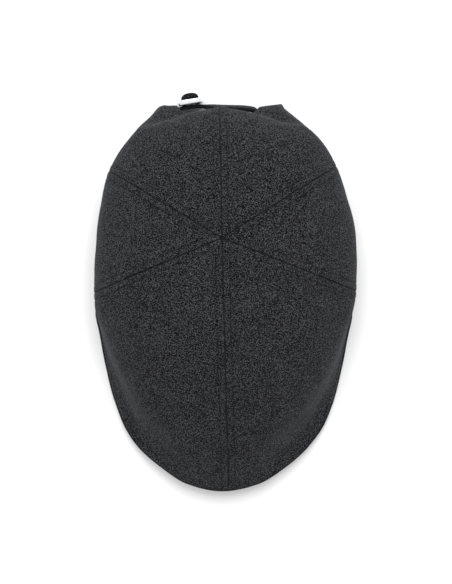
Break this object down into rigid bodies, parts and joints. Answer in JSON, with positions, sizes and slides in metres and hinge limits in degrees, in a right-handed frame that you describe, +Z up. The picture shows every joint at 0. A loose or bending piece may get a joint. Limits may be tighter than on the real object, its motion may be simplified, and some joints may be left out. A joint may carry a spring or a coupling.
{
  "type": "flat cap",
  "caption": "Duckbill flat cap in charcoal wool with panelled crown, stiff peak and an adjustable back strap with a slide buckle under an arched opening.",
  "frame": {"origin": "middle of the cap's outline in plan, on the surface that it rests on", "axes": "+Y towards the back of the cap and -Y towards the peak, +Z up, +X towards the wearer's left"},
  "size_m": [0.1896, 0.289, 0.0882],
  "materials": {
    "crown_wool": "matte wool flannel, charcoal melange",
    "peak_wool": "matte wool flannel, charcoal melange",
    "strap_wool": "matte wool flannel, near black",
    "slide_metal": "polished nickel"
  },
  "bodies": {
    "root": {"crown_panel_back_left": "crown_wool", "crown_panel_back_right": "crown_wool", "crown_panel_side_left": "crown_wool", "crown_panel_side_right": "crown_wool", "crown_panel_front_left": "crown_wool", "crown_panel_front_right": "crown_wool", "peak": "peak_wool", "strap": "strap_wool", "strap_loop": "strap_wool", "slide_buckle": "slide_metal"}
  },
  "joints": []
}
